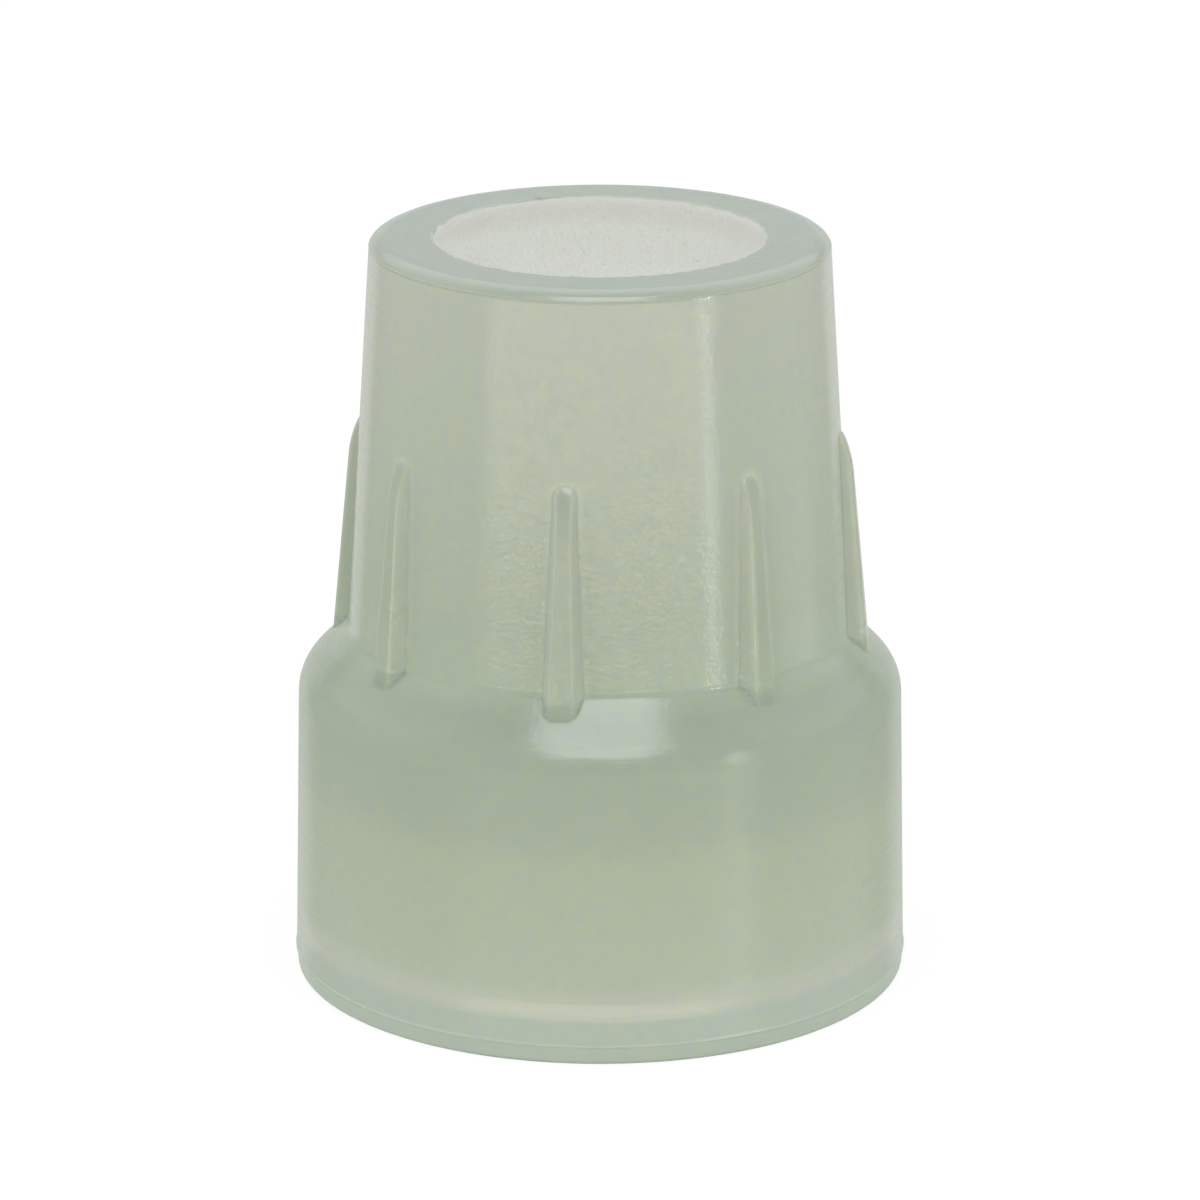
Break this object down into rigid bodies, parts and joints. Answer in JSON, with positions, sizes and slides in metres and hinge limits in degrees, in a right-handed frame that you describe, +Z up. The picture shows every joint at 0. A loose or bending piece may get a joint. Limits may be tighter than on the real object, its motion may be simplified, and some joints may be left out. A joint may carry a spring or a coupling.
{
  "type": "walking stick tip",
  "caption": "Soft moulded tip for the foot of a walking stick: tapered neck with a blind round socket, grip ribs and a wide solid foot.",
  "frame": {"origin": "middle of the face that stands on the floor", "axes": "+Z up along the axis of the socket, out of its mouth; a rib lies on each of +X, -X, +Y and -Y"},
  "size_m": [0.0414, 0.0414, 0.0506],
  "materials": {
    "moulded_rubber": "translucent pale grey-green moulded rubber, semi-gloss"
  },
  "bodies": {
    "root": {"cane_tip": "moulded_rubber"}
  },
  "joints": []
}
